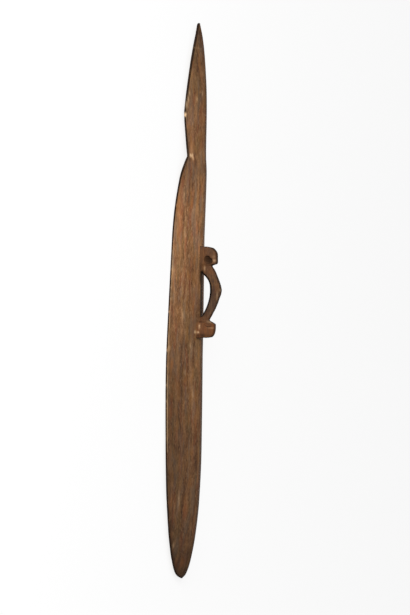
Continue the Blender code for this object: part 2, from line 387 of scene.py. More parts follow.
# Name: length along the grain, width across it, octaves, shift.
LAYERS = {
    "broad": (0.22, 0.026, 3.0, 0.0),
    "medium": (0.080, 0.0090, 3.0, 3.1),
    "fine": (0.030, 0.0036, 3.0, 7.7),
    "fleck": (0.014, 0.0026, 2.0, 5.3),
    "blotch": (0.040, 0.0180, 4.0, 13.9),
    "mottle": (0.0075, 0.0034, 3.0, 71.3),
    "red": (0.085, 0.024, 5.0, 11.3),
    "olive": (0.140, 0.032, 5.0, 17.9),
    "grey": (0.095, 0.021, 5.0, 23.5),
    "ochre": (0.060, 0.019, 5.0, 31.1),
    "dust": (0.0160, 0.0030, 3.0, 83.9),
    "lines": (0.110, 0.00095, 2.0, 53.1),
    "pores": (0.0090, 0.00055, 1.0, 61.9),
    "crack": (0.16, 0.0030, 2.0, 41.7),
}
TONE_WEIGHTS = {
    "broad": 0.42, "blotch": 0.24, "medium": 0.16, "fine": 0.08, "fleck": 0.08, "mottle": 0.26,
}
TO_MIDDLE, TO_PALE = (0.51, 0.65), (0.61, 0.75)
# Layer, noise at which the stain starts, noise at which it is full, its share there, colour.
STAINS = [
    ("red", 0.50, 0.63, 0.50, RED_TINT),
    ("olive", 0.50, 0.63, 0.42, OLIVE_TINT),
    ("grey", 0.50, 0.63, 0.52, GREY_TINT),
    ("ochre", 0.50, 0.63, 0.32, OCHRE_TINT),
    ("fleck", 0.64, 0.80, 0.14, BARE_WOOD_AND_HIGHLIGHT),
    ("dust", 0.54, 0.68, 0.60, DUST_TINT),
    ("lines", 0.50, 0.66, 0.38, DARK_STREAK),
    ("lines", 0.50, 0.34, 0.22, PALE_STREAK),
    ("pores", 0.63, 0.72, 0.55, BLACKENED_AND_SHADE),
    ("crack", 0.69, 0.74, 0.55, BLACKENED_AND_SHADE),
]
print(len(LAYERS), "layers of noise and", len(STAINS), "stains")

# %% [markdown]
# The tree reads five attributes of the finished mesh, which a later step paints: "tone" makes the wood
# darker or paler along its length, partly as painted light that is brightest in the upper middle and
# falls off towards the foot, "warm" browns it, "grip" stains it with sweat, "black" covers it with
# grime and painted shade and, above 1, with painted deep shade, and the wear attribute rubs it bare and
# also lays painted highlights. Noise breaks up each of them, so that no painted edge stays smooth. The
# same layers give a low relief of fibres as bump: it is finer than the mesh could carry. Old wood
# hardly shines, and grime and painted shade make it duller still.

# %% The wood's tree
SWAY_PATCH, WANDER = (0.22, 0.08), 0.016
WARM_BREAK = (0.36, 0.62, 0.55, 1.0)  # noise from and to, share left there
SWEAT_WEIGHTS, SWEAT_BREAK = {"fleck": 0.6, "medium": 0.4}, (0.42, 0.58, 0.84, 0.16)
GRIME_AND_SHADE_BREAK = (0.25, 0.55, 0.86, 1.0)
RUB_BREAK = (0.42, 0.58, 0.45, 1.25)
ROUGHNESS, DULLER = (0.50, 0.76, 0.66, 0.80), 0.18
GLOSS = 0.10
RELIEF_WEIGHTS = {"medium": 0.35, "fine": 0.30, "fleck": 0.20, "lines": 0.35, "pores": -0.22}
FIBRE_BUMP, FIBRE_STRENGTH = 0.0011, 0.9


def wandering_grain(tree):
    """Object coordinates that drift a little to the side as they run along the plank."""
    place = tree.nodes.new("ShaderNodeTexCoord").outputs["Object"]
    sway = maths(tree, "SUBTRACT", streaks(tree, place, *SWAY_PATCH), 0.5)
    drift = maths(tree, "MULTIPLY", sway, WANDER)
    pushed = tree.nodes.new("ShaderNodeCombineXYZ")
    tree.links.new(drift, pushed.inputs["Y"])
    tree.links.new(drift, pushed.inputs["Z"])
    moved = tree.nodes.new("ShaderNodeVectorMath")
    moved.operation = "ADD"
    tree.links.new(place, moved.inputs[0])
    tree.links.new(pushed.outputs[0], moved.inputs[1])
    return moved.outputs[0]


def plain_colour(tree, layer, tone):
    """The wood's colour before use: three browns by tone, with the stains over them."""
    body = blended(tree, eased(tree, tone, *TO_MIDDLE), DARK_STREAK, MIDDLE_STREAK)
    body = blended(tree, eased(tree, tone, *TO_PALE), body, PALE_STREAK)
    for name, start, full, most, tint in STAINS:
        body = blended(tree, eased(tree, layer[name], start, full, 0.0, most), body, tint)
    return body


def used_colour(tree, layer, body, grime_and_shade):
    """The colour after use and with painted light: browned, made darker and paler by tone, partly a
    painted falloff of light, sweated on, blackened by grime and painted shade, rubbed bare and given
    painted highlights.
    """
    warmth = maths(tree, "MULTIPLY", named(tree, "warm"), eased(tree, layer["blotch"], *WARM_BREAK))
    body = blended(tree, warmth, body, WARM_BROWN)
    body = blended(tree, 1.0, body, grey_of(tree, named(tree, "tone")), "MULTIPLY")
    sweat = eased(tree, weighted(tree, layer, SWEAT_WEIGHTS), *SWEAT_BREAK)
    body = blended(tree, maths(tree, "MULTIPLY", named(tree, "grip"), sweat), body, GRIP_TINT)
    body = blended(tree, grime_and_shade, body, BLACKENED_AND_SHADE)
    body = blended(tree, eased(tree, named(tree, "black"), 1.0, 2.0), body, DEEP_SHADE)
    rubbed = eased(tree, layer["lines"], *RUB_BREAK)
    rubbed = maths(tree, "MULTIPLY", named(tree, "wear_and_highlight"), rubbed, clamp=True)
    return blended(tree, rubbed, body, BARE_WOOD_AND_HIGHLIGHT)


def make_wood():
    material = bpy.data.materials.new("old_dark_wood")
    material.use_nodes = True
    tree = material.node_tree
    shader = tree.nodes["Principled BSDF"]
    grain = wandering_grain(tree)
    layer = {name: streaks(tree, grain, *numbers) for name, numbers in LAYERS.items()}
    tone = weighted(tree, layer, TONE_WEIGHTS)
    held_back = eased(tree, layer["medium"], *GRIME_AND_SHADE_BREAK)
    grime_and_shade = maths(tree, "MULTIPLY", named(tree, "black"), held_back, clamp=True)
    body = used_colour(tree, layer, plain_colour(tree, layer, tone), grime_and_shade)
    tree.links.new(body, shader.inputs["Base Color"])

    matt = maths(tree, "ADD", eased(tree, tone, *ROUGHNESS), eased(tree, grime_and_shade, 0.0, 1.0, 0.0, DULLER))
    tree.links.new(matt, shader.inputs["Roughness"])
    shader.inputs["Specular IOR Level"].default_value = GLOSS

    bump = tree.nodes.new("ShaderNodeBump")
    bump.inputs["Strength"].default_value = FIBRE_STRENGTH
    bump.inputs["Distance"].default_value = FIBRE_BUMP
    tree.links.new(weighted(tree, layer, RELIEF_WEIGHTS), bump.inputs["Height"])
    tree.links.new(bump.outputs["Normal"], shader.inputs["Normal"])
    return material


wood = make_wood()
print(len(wood.node_tree.nodes), "shader nodes")

# %% [markdown]
# ## From net to board, with Geometry Nodes
#
# The section rule and the tool marks are worked out by a node tree, because both follow the
# surface and both are easy to try with other sizes. The tree lifts each point to its place on the
# roof, the rim or the hollow front, presses in rows of shallow scoops, as a blade leaves them,
# and nibbles the rim. Every size is a named input of the tree. Sculpting would do the same by
# hand, and numpy could lift the points too, but neither can be tried out on the Modifiers tab.

# %% Sizes and helpers of the board's tree
SIZES = {
    "Rim thickness": RIM_THICKNESS,
    "Rim round": 0.0015,
    "Rim land": 0.0080,
    "Ridge round": 0.0100,
    "Ridge thickness": 0.0170,
    "Mark length": 0.075,
    "Mark width": 0.022,
    "Back mark depth": 0.00045,
    "Front mark depth": 0.0010,
    "Nick length": 0.030,
    "Nick depth": 0.0013,
    "Sway length": 0.24,
    "Sway": 0.0009,
    "Seed": 0.5,
}
NICK_RANGE, NICK_POWER = (0.48, 0.74), 1.5  # noise at which the rim starts to step in, and is all in
NICK_SHARE, ROUND_SHARE, LAND_SHARE = 0.2, 0.4, 0.3  # limits near the tips, of the half width
SWAYS_ACROSS, SWAY_LEVEL = 9.0, 0.62  # sways to a metre, and the noise that leaves the back as it is
EDGE_HOLD = 6.0  # power of the share across that keeps marks off the rims
FRONT_EASE = 8.0  # how soon the front's marks start inside its land
SCOOP_RANDOMNESS, SCOOP_STEEPNESS = 0.85, 1.6
SIDE_SHIFT, SWAY_SHIFT, FRONT_SHIFT = 5.0, 2.5, 8.0  # so that no two noises share a pattern


def new_tree(name, sizes):
    """An empty tree with a geometry in and out, a material and named sizes in metres."""
    tree = bpy.data.node_groups.new(name, "GeometryNodeTree")
    face = tree.interface
    face.new_socket("Geometry", in_out="INPUT", socket_type="NodeSocketGeometry")
    face.new_socket("Geometry", in_out="OUTPUT", socket_type="NodeSocketGeometry")
    face.new_socket("Wood", in_out="INPUT", socket_type="NodeSocketMaterial")
    for label, value in sizes.items():
        face.new_socket(label, in_out="INPUT", socket_type="NodeSocketFloat").default_value = value
    return tree, tree.nodes.new("NodeGroupInput").outputs, tree.nodes.new("NodeGroupOutput").inputs


def carried_by(tree, name):
    """A float attribute that the net carries."""
    node = tree.nodes.new("GeometryNodeInputNamedAttribute")
    node.data_type = "FLOAT"
    node.inputs["Name"].default_value = name
    return node.outputs["Attribute"]


def vector_of(tree, x, y, z):
    node = tree.nodes.new("ShaderNodeCombineXYZ")
    for socket, value in zip(node.inputs, (x, y, z)):
        put(tree, socket, value)
    return node.outputs[0]


def cloud_at(tree, place, detail=2.0):
    node = tree.nodes.new("ShaderNodeTexNoise")
    node.inputs["Scale"].default_value = 1.0
    node.inputs["Detail"].default_value = detail
    tree.links.new(place, node.inputs["Vector"])
    return node.outputs["Fac"]


def scoops_at(tree, place):
    """0 in the middle of a scoop and about 1 on the crest between two."""
    node = tree.nodes.new("ShaderNodeTexVoronoi")
    node.inputs["Scale"].default_value = 1.0
    node.inputs["Randomness"].default_value = SCOOP_RANDOMNESS
    tree.links.new(place, node.inputs["Vector"])
    squared = maths(tree, "MULTIPLY", node.outputs["Distance"], node.outputs["Distance"])
    return maths(tree, "MULTIPLY", squared, SCOOP_STEEPNESS, clamp=True)


print(len(SIZES), "sizes steer the board")

# %% [markdown]
# The tree follows the section of the plank: nicks in the rim, the back's two slopes with a rounded
# ridge, the hollow front, and half a turn round the rim. It works out all of them for each point,
# and the point's zone picks the one that counts. A net and a tree for each would do as well, but
# then they would have to be sewn together.


# %% The board's tree
def board_tree():
    tree, size, out = new_tree("carve_board", SIZES)

    def m(operation, *values, clamp=False):
        return maths(tree, operation, *values, clamp=clamp)

    half, ridge, rim = (carried_by(tree, name) for name in ("half", "ridge", "rim"))
    share, zone, turn = (carried_by(tree, name) for name in ("share", "zone", "turn"))
    apart = tree.nodes.new("ShaderNodeSeparateXYZ")
    tree.links.new(tree.nodes.new("GeometryNodeInputPosition").outputs[0], apart.inputs[0])
    x = apart.outputs["X"]
    side = m("SIGN", share)

    # Nicks: the rim steps in where a noise along it is high.
    off_side = m("MULTIPLY", side, SIDE_SHIFT)
    nick_place = vector_of(tree, m("DIVIDE", x, size["Nick length"]), off_side, 0.0)
    nick = m("POWER", eased(tree, cloud_at(tree, nick_place, 3.0), *NICK_RANGE), NICK_POWER)
    deepest = m("MINIMUM", size["Nick depth"], m("MULTIPLY", half, NICK_SHARE))
    edge = m("SUBTRACT", half, m("MULTIPLY", nick, deepest))
    turn_in = m("MINIMUM", size["Rim round"], m("MULTIPLY", half, ROUND_SHARE))
    inner_edge = m("SUBTRACT", edge, turn_in)
    y = m("MULTIPLY", share, inner_edge)
    far = m("ABSOLUTE", y)

    # The back: two slopes and a rounded ridge.
    eave = m("ADD", rim, size["Rim thickness"])
    soft = m("MINIMUM", size["Ridge round"], half)
    soft_squared = m("MULTIPLY", soft, soft)
    run = m("SUBTRACT", m("SQRT", m("MULTIPLY_ADD", y, y, soft_squared)), soft)
    whole_run = m("SUBTRACT", m("SQRT", m("MULTIPLY_ADD", half, half, soft_squared)), soft)
    fall = m("DIVIDE", run, whole_run)
    back = m("SUBTRACT", ridge, m("MULTIPLY", m("SUBTRACT", ridge, eave), fall))
    inward = m("SUBTRACT", 1.0, m("POWER", m("ABSOLUTE", share), EDGE_HOLD))
    seed = size["Seed"]
    sway_along, sway_across = m("DIVIDE", x, size["Sway length"]), m("MULTIPLY", y, SWAYS_ACROSS)
    sway_place = vector_of(tree, sway_along, sway_across, m("ADD", seed, SWAY_SHIFT))
    sway = m("MULTIPLY", m("SUBTRACT", cloud_at(tree, sway_place), SWAY_LEVEL), size["Sway"])
    back = m("MULTIPLY_ADD", sway, inward, back)
    along_marks, across_marks = m("DIVIDE", x, size["Mark length"]), m("DIVIDE", y, size["Mark width"])
    mark_place = vector_of(tree, along_marks, across_marks, seed)
    pressed = m("MULTIPLY", m("SUBTRACT", scoops_at(tree, mark_place), 1.0), size["Back mark depth"])
    back = m("MULTIPLY_ADD", pressed, inward, back)

    # The front: a flat land along the rim, then a hollow with bolder marks.
    inner = m("MAXIMUM", m("SUBTRACT", edge, size["Rim land"]), m("MULTIPLY", edge, LAND_SHARE))
    vault = m("MAXIMUM", rim, m("SUBTRACT", ridge, size["Ridge thickness"]))
    rise = m("SUBTRACT", 1.0, m("DIVIDE", far, inner), clamp=True)
    front = m("MULTIPLY_ADD", m("SUBTRACT", vault, rim), rise, rim)
    front_place = vector_of(tree, along_marks, across_marks, m("ADD", seed, FRONT_SHIFT))
    bolder = m("MULTIPLY", m("SUBTRACT", 1.0, scoops_at(tree, front_place)), size["Front mark depth"])
    front = m("MULTIPLY_ADD", bolder, m("MULTIPLY", rise, FRONT_EASE, clamp=True), front)

    # The rim: half a turn from the back's edge to the land.
    half_rim = m("MULTIPLY", size["Rim thickness"], 0.5)
    edge_y = m("MULTIPLY", side, m("MULTIPLY_ADD", turn_in, m("SINE", turn), inner_edge))
    edge_z = m("ADD", rim, m("MULTIPLY_ADD", m("COSINE", turn), half_rim, half_rim))

    on_edge = m("COMPARE", zone, EDGE_ZONE, 0.5)
    on_front = m("COMPARE", zone, FRONT_ZONE, 0.5)
    on_back = m("SUBTRACT", m("SUBTRACT", 1.0, on_edge), on_front)
    flat_y = m("MULTIPLY", m("SUBTRACT", 1.0, on_edge), y)
    final_y = m("ADD", m("MULTIPLY", on_edge, edge_y), flat_y)
    final_z = m("MULTIPLY", on_edge, edge_z)
    final_z = m("MULTIPLY_ADD", on_front, front, final_z)
    final_z = m("MULTIPLY_ADD", on_back, back, final_z)

    lift = tree.nodes.new("GeometryNodeSetPosition")
    tree.links.new(size["Geometry"], lift.inputs["Geometry"])
    tree.links.new(vector_of(tree, x, final_y, final_z), lift.inputs["Position"])
    real = tree.nodes.new("GeometryNodeRealizeInstances")
    tree.links.new(lift.outputs[0], real.inputs[0])
    dress = tree.nodes.new("GeometryNodeSetMaterial")
    tree.links.new(real.outputs[0], dress.inputs["Geometry"])
    tree.links.new(size["Wood"], dress.inputs["Material"])
    tree.links.new(dress.outputs[0], out["Geometry"])
    return tree


shape_tree = board_tree()
print(len(shape_tree.nodes), "nodes shape the board")

# %% [markdown]
# The tree runs as a modifier, and its result is kept as a plain mesh without the modifier, so that
# the next steps can cut, join and paint it. Applying the modifier with an operator would do too,
# but needs the right object to be active. A size reaches its socket by the socket's identifier.


# %% Carve the board
def plain_result(source, name):
    """The evaluated object as a new plain mesh object; the source is removed."""
    seen = source.evaluated_get(bpy.context.evaluated_depsgraph_get())
    mesh = bpy.data.meshes.new_from_object(seen)
    bpy.data.objects.remove(source, do_unlink=True)
    mesh.name = name
    result = bpy.data.objects.new(name, mesh)
    bpy.context.scene.collection.objects.link(result)
    return result


def run_tree(source, tree, name, material, sizes):
    """Runs the tree on an object, with every size and the material set by its socket."""
    step = source.modifiers.new("shape", "NODES")
    step.node_group = tree
    for item in tree.interface.items_tree:
        if item.in_out == "INPUT" and item.socket_type == "NodeSocketMaterial":
            step[item.identifier] = material
        elif item.in_out == "INPUT" and item.name in sizes:
            step[item.identifier] = sizes[item.name]
    return plain_result(source, name)


board = bpy.data.objects.new("board_net", net)
bpy.context.scene.collection.objects.link(board)
board = run_tree(board, shape_tree, "carved_board", wood, SIZES)
print("board:", len(board.data.polygons), "faces")

# %% [markdown]
# ## The handle
#
# On the real shield the handle is what was left standing when the back was cut down: two blocks,
# each hollowed on both sides like a hooked head, and a bent grip between them. Metaballs or
# sculpting would give soft forms, but not these measured ones. So it is lofted from closed rings
# along X, as the solid is, with many more of them. Lengths run along the board from the middle of
# the finger opening, heights from the ridge. Two cutters that overlap gouge the upper block's egg.

# %% Handle values
OPENING_AT = 0.930
OPENING_UPPER, OPENING_LOWER = 0.0575, 0.0970
CLEARANCE_AT, CLEARANCE = -0.020, 0.0328
UPPER_END, LOWER_END = -0.1668, 0.1450
SINK = 0.0110
RING_SIDES = 48
HANDLE_STEP = 0.0016
VOXEL = 0.0016
SOFTEN = (0.5, 3)  # factor and rounds
GROWTH, GROWTH_ABOVE = 0.0005, 0.0002  # what the smoothing and the knife cuts take off again
FLARE_HEIGHT, FLARE_START = 0.0200, 0.0835
UPPER_FLARE, LOWER_FLARE = 0.0050, 0.0220  # how far the blocks spread where they meet the board
UPPER_ARCH, LOWER_ARCH = 2.4, 2.0  # powers of the underside's curve
BLOCK_SQUARENESS, GRIP_SQUARENESS = 0.42, 0.46  # 1 is an oval, and towards 0 it squares

HANDLE_TOP = [
    (UPPER_END, 0.0180, 0.0, 7.0),
    (-0.1632, 0.0375, 2.0, 1.6),
    (-0.1300, 0.0549, 0.0, 0.0),
    (-0.1080, 0.0534, -0.4, -3.2),  # the upper block's lip
    (-0.1000, 0.0366, 0.0, 0.8),
    (-0.0500, 0.0626, 0.42, 0.42),
    (-0.0210, 0.0715, 0.30, -0.10),  # the grip's elbow
    (-0.0010, 0.0676, -0.40, -0.40),
    (0.0500, 0.0474, -0.52, -0.52),
    (0.0835, 0.0289, -0.60, 1.3),
    (0.0975, 0.0512, 0.9, -0.05),  # the lower block's brow
    (0.1245, 0.0494, -0.25, -0.25),
    (0.1415, 0.0392, -1.2, -2.5),
    (LOWER_END, 0.0180, -7.0, 0.0),
]
HANDLE_HALF = with_natural_slopes(
    [
        (UPPER_END, 0.0160),
        (-0.1300, 0.0170),
        (-0.1080, 0.0160),
        (-0.1000, 0.0125),
        (-0.0210, 0.0135),
        (0.0835, 0.0125),
        (0.0975, 0.0180),
        (LOWER_END, 0.0170),
    ]
)
# Each cutter: place along, height, (length, depth, height), distance from the middle plane.
HOLLOWS = [
    (-0.1220, 0.0240, (0.0260, 0.0200, 0.0220), 0.0178),
    (-0.1175, 0.0295, (0.0230, 0.0190, 0.0270), 0.0177),
    (0.0985, 0.0350, (0.0175, 0.0120, 0.0350), 0.0186),
]
print("the handle is", round(LOWER_END - UPPER_END, 3), "m long")

# %% [markdown]
# A ring is a squared oval from the handle's underside to its top. Over the finger opening the
# underside is an arch. Beyond it the ring sinks into the board, and the blocks spread at the foot.
# A bevelled curve could make the grip, but not the blocks, and both are one piece of wood.


# %% Rings across the handle
def underside(along):
    """Height of the handle's underside: an arch over the ridge, below it beyond the opening."""
    offset = np.asarray(along) - CLEARANCE_AT
    upper, lower = np.abs(offset / OPENING_UPPER) ** UPPER_ARCH, (offset / OPENING_LOWER) ** LOWER_ARCH
    return CLEARANCE * (1 - np.where(offset < 0, upper, lower))


def handle_ring(along):
    """Closed ring across the handle: a squared oval between its underside and its top."""
    low = max(-SINK, float(underside(along)))
    high = along_curve(HANDLE_TOP, along)[0]
    half = along_curve(HANDLE_HALF, along)[0]
    in_block = low <= 0
    turn = 2 * math.pi * (np.arange(RING_SIDES) + 0.5) / RING_SIDES
    squareness = BLOCK_SQUARENESS if in_block else GRIP_SQUARENESS
    wide = np.sign(np.cos(turn)) * np.abs(np.cos(turn)) ** squareness
    tall = np.sign(np.sin(turn)) * np.abs(np.sin(turn)) ** squareness
    height = (low + high) / 2 + (high - low) / 2 * tall
    flare = UPPER_FLARE
    if along > CLEARANCE_AT:
        flare = LOWER_FLARE * min(max((along - FLARE_START) / (LOWER_END - FLARE_START), 0.0), 1.0)
    spread = flare * in_block * np.clip(1 - np.maximum(height, 0) / FLARE_HEIGHT, 0, 1) ** 2
    distance = OPENING_AT + along
    base = ridge_height(distance)[0]
    x = distance - length / 2
    height = height + np.where(tall > 0, GROWTH_ABOVE, GROWTH) * tall
    return [(x, w * (half + GROWTH + s), base + h) for w, s, h in zip(wide, spread, height)]


print("fingers have", round(float(underside(CLEARANCE_AT)), 4), "m under the grip")

# %% [markdown]
# The rings become one closed body, and the cutters are scaled spheres. Exact Booleans are slow but
# sure, and there are few. A voxel remesh then gives even faces all over, which the cuts alone
# don't, and a light smoothing rounds what hands have rounded.


# %% Carve the handle
def object_of(bm, name):
    """A new object in the scene with the bmesh's shape."""
    mesh = bpy.data.meshes.new(name)
    bm.to_mesh(mesh)
    bm.free()
    made = bpy.data.objects.new(name, mesh)
    bpy.context.scene.collection.objects.link(made)
    return made


def loft(name, rings):
    """A closed body through a row of rings."""
    bm = bmesh.new()
    grid = [[bm.verts.new(point) for point in points] for points in rings]
    count = len(grid[0])
    for row, following in zip(grid, grid[1:]):
        for i in range(count):
            j = (i + 1) % count
            bm.faces.new((row[i], row[j], following[j], following[i]))
    bm.faces.new(grid[0])
    bm.faces.new(grid[-1][::-1])
    bmesh.ops.recalc_face_normals(bm, faces=bm.faces)
    return object_of(bm, name)


def cutter(along, height, size, half, side):
    """An egg that gouges one side of a block."""
    bm = bmesh.new()
    bmesh.ops.create_icosphere(bm, subdivisions=4, radius=0.5)
    bmesh.ops.scale(bm, vec=size, verts=bm.verts)
    distance = OPENING_AT + along
    middle = (distance - length / 2, side * half, ridge_height(distance)[0] + height)
    bmesh.ops.translate(bm, vec=middle, verts=bm.verts)
    return object_of(bm, "cutter")


def combine(target, other, operation):
    """An exact Boolean, applied; the other object is used up."""
    step = target.modifiers.new("combine", "BOOLEAN")
    step.operation = operation
    step.solver = "EXACT"
    step.object = other
    result = plain_result(target, target.data.name)
    bpy.data.objects.remove(other, do_unlink=True)
    return result


places = np.linspace(UPPER_END, LOWER_END, round((LOWER_END - UPPER_END) / HANDLE_STEP))
handle = loft("handle", [handle_ring(along) for along in places])
for along, height, size, half in HOLLOWS:
    for side in (-1, 1):
        handle = combine(handle, cutter(along, height, size, half, side), "DIFFERENCE")

remesh = handle.modifiers.new("even", "REMESH")
remesh.mode = "VOXEL"
remesh.voxel_size = VOXEL
soften = handle.modifiers.new("soften", "SMOOTH")
soften.factor, soften.iterations = SOFTEN
handle = plain_result(handle, "handle")
print("handle:", len(handle.data.polygons), "faces")

# %% [markdown]
# Knife cuts leave small flats on a handle. Each point is pushed in along its normal by the squared
# distance to the nearest of many scattered centres, which makes shallow facets with soft crests.
# Geometry Nodes could do it as for the board, but for so few points a loop is shorter.

# %% Knife facets on the handle
FACET_SIZE, FACET_DEPTH = 0.011, 0.0006
FACET_STRETCH, FACET_STEEPNESS = 0.45, 1.5  # facets are longer along the grain

for vertex in handle.data.vertices:
    place = Vector((vertex.co.x * FACET_STRETCH, vertex.co.y, vertex.co.z)) / FACET_SIZE
    nearest = noise.voronoi(place)[0][0]
    vertex.co -= vertex.normal * FACET_DEPTH * max(0.0, 1 - nearest * nearest * FACET_STEEPNESS)
print("cut facets into", len(handle.data.vertices), "points")

# %% [markdown]
# ## One piece of wood
#
# On the real shield there is no joint between handle and board, only a hollow corner that the
# blade couldn't reach. An exact union leaves a hard line there. A bevel needs clean edge loops,
# which this mesh hasn't, so the points near the line are moved towards their neighbours instead,
# less and less with distance. Long faces along the line are split first, so that they can bend.

# %% Join the handle to the board
SEAM_RISE = (0.0004, 0.0030)
SEAM_REACH = 0.0062
SEAM_ROUNDS, SEAM_PULL = 14, 0.6
SEAM_MARGIN, SEAM_HALF, SEAM_FLOOR = 0.012, 0.055, 0.03  # the part of the shield that is searched
TABLE_POINTS = 800

table_places = np.linspace(0, length, TABLE_POINTS)
table_ridges = ridge_height(table_places)


def above_roof(place):
    """Height of a point over the board's back."""
    distance = min(max(place.x + length / 2, 0.0), length)
    ridge_here = float(np.interp(distance, table_places, table_ridges))
    return place.z - ridge_here + ROOF_SLOPE * abs(place.y)


def drop_twins(bm):
    """Deletes pairs of triangles on the same three points, which lie flat on each other."""
    seen, twins = {}, []
    for face in bm.faces:
        corners = frozenset(face.verts)
        if corners in seen:
            twins += [seen[corners], face]
        seen[corners] = face
    bmesh.ops.delete(bm, geom=twins, context="FACES")


def soften_seam(target):
    """Smooths the points near the line where the handle stands on the board."""
    bm = bmesh.new()
    bm.from_mesh(target.data)
    start = OPENING_AT + UPPER_END - length / 2 - SEAM_MARGIN
    end = OPENING_AT + LOWER_END - length / 2 + SEAM_MARGIN
    nearby = [v for v in bm.verts if start < v.co.x < end and abs(v.co.y) < SEAM_HALF]
    nearby = [v for v in nearby if v.co.z > SEAM_FLOOR]
    seam = [v.co.copy() for v in nearby if SEAM_RISE[0] < above_roof(v.co) < SEAM_RISE[1]]
    tree = KDTree(len(seam))
    for i, place in enumerate(seam):
        tree.insert(place, i)
    tree.balance()
    shares = {}
    for v in nearby:
        gap = tree.find(v.co)[2]
        if gap < SEAM_REACH:
            shares[v] = SEAM_PULL * (1 - gap / SEAM_REACH)
    long_faces = {f for v in shares for f in v.link_faces if len(f.verts) > 4}
    bmesh.ops.triangulate(bm, faces=list(long_faces), quad_method="BEAUTY", ngon_method="BEAUTY")
    drop_twins(bm)
    shares = {v: share for v, share in shares.items() if v.is_valid}
    for _ in range(SEAM_ROUNDS):
        moved = {}
        for v, share in shares.items():
            others = [e.other_vert(v).co for e in v.link_edges]
            middle = sum(others, Vector()) / len(others)
            moved[v] = v.co.lerp(middle, share)
        for v, place in moved.items():
            v.co = place
    bm.to_mesh(target.data)
    bm.free()
    return len(shares)


shield = combine(board, handle, "UNION")
shield.name = "carved_shield"
shield.data.name = "carved_shield"
print("softened", soften_seam(shield), "points of the seam")
shield.data.calc_loop_triangles()
print("shield:", len(shield.data.loop_triangles), "triangles")

# %% [markdown]
# ## Where it is black, worn, warm and handled, and where shade and highlights are painted
#
# Colour that follows the shape is stored on the points, so that it turns with the object and
# survives the export. It could be painted by hand in Vertex Paint mode, but a number can be
# corrected alone. First each point is asked where it is: how far along, how far from the rim, how
# high over the back, and whether it is on the handle.

# %% Read the surface
HANDLE_MARGIN, HANDLE_SIDE, HANDLE_RISE = 0.004, 0.045, 0.0025


def read_vectors(data, name):
    """One vector of each point, as an array."""
    values = np.empty(len(data) * 3, np.float32)
    data.foreach_get(name, values)
    return values.reshape(-1, 3).astype(float)


def soft_step(value, low, high):
    """0 up to low and 1 from high, eased between them."""
    t = np.clip((value - low) / (high - low), 0, 1)
    return t * t * (3 - 2 * t)


points = read_vectors(shield.data.vertices, "co")
facing = read_vectors(shield.data.vertex_normals, "vector")
away = np.clip(points[:, 0] + length / 2, 0, length)
from_middle = np.abs(points[:, 1])
half_here = half_width(away)
from_edge = half_here - from_middle
over_ridge = points[:, 2] - ridge_height(away)
over_roof = over_ridge + ROOF_SLOPE * from_middle
along_handle = away - OPENING_AT
on_handle = (along_handle > UPPER_END - HANDLE_MARGIN) & (along_handle < LOWER_END + HANDLE_MARGIN)
on_handle &= (from_middle < HANDLE_SIDE) & (over_roof > HANDLE_RISE)
print(len(points), "points, of which", int(on_handle.sum()), "are on the handle")

# %% [markdown]
# The rims get a dark band that fades inwards, with a thin pale line just inside it where the arris
# is rubbed. Both change along the board and from side to side, so each is a short table of
# (distance from the tip, value). A texture could hold them, but would blur or need unwrapping.
# The tone darkens the head and the foot and is brightest in the upper middle. Along the board this is
# partly painted light, a pool of light that falls off towards the foot. Each stretch of the back has
# its paler half: towards the rim in some, towards the ridge in others.

# %% Tables along the board
NEAR_BLACK = [
    (0.00, 0.0060), (0.09, 0.0085), (0.17, 0.0070), (0.24, 0.0055), (0.32, 0.0036), (0.42, 0.0042),
    (0.49, 0.0070), (0.56, 0.0026), (0.66, 0.0018), (0.90, 0.0006), (1.44, 0.0006), (1.54, 0.0020),
    (length, 0.0036),
]
FAR_BLACK = [
    (0.00, 0.0015), (0.20, 0.0030), (0.95, 0.0034), (1.06, 0.0), (1.42, 0.0), (1.54, 0.0065),
    (length, 0.0085),
]
NEAR_RUB = [
    (0.00, 0.02), (0.15, 0.06), (0.24, 0.14), (0.32, 0.18), (0.42, 0.03), (0.52, 0.03), (0.66, 0.16),
    (0.80, 0.26), (0.90, 0.42), (1.00, 0.30), (1.14, 0.18), (1.25, 0.28), (1.34, 0.40), (1.44, 0.26),
    (1.56, 0.10), (1.64, 0.0), (length, 0.0),
]
FAR_RUB = [
    (0.00, 0.0), (0.95, 0.04), (1.08, 0.95), (1.25, 0.85), (1.40, 0.55), (1.50, 0.0), (length, 0.0),
]
NEAR_SHADE = [(0.00, 0.20), (0.60, 0.06), (1.45, 0.08), (1.60, 0.30), (length, 0.45)]
FAR_SHADE = [
    (0.00, 0.10), (0.30, 0.20), (0.95, 0.20), (1.06, 0.0), (1.42, 0.05), (1.60, 0.25), (length, 0.35),
]
RIM_TONE = [
    (0.00, 1.00), (0.20, 1.08), (0.36, 1.14), (0.43, 0.90), (0.50, 0.98), (0.85, 1.15), (1.04, 1.20),
    (1.12, 0.90), (1.54, 0.82), (1.74, 1.00), (length, 0.95),
]
RIDGE_TONE = [
    (0.00, 1.05), (0.24, 0.86), (0.36, 0.86), (0.43, 1.12), (0.50, 0.97), (0.85, 0.84), (1.04, 0.78),
    (1.12, 1.16), (1.50, 1.09), (1.74, 0.92), (length, 0.96),
]
TONE_AND_LIGHT_ALONG = with_natural_slopes(
    [
        (0.00, 0.45), (0.07, 0.54), (0.16, 0.90), (0.24, 0.82), (0.35, 0.98), (0.43, 0.94),
        (0.50, 0.91), (0.58, 1.26), (0.69, 1.48), (0.80, 1.32), (0.91, 1.20), (1.03, 0.97),
        (1.14, 0.85), (1.34, 0.74), (1.54, 0.70), (1.64, 0.69), (1.74, 0.63), (1.82, 0.45),
        (length, 0.32),
    ]
)
print(len(TONE_AND_LIGHT_ALONG), "steps of tone along the board")

# %% [markdown]
# The tables are read at each point, and the bands are laid with soft steps. A noise along the
# board breaks the pale line, because an edge isn't rubbed evenly. A procedural edge mask from the
# shape's curvature would put the line on both rims alike, and the picture doesn't show them alike.

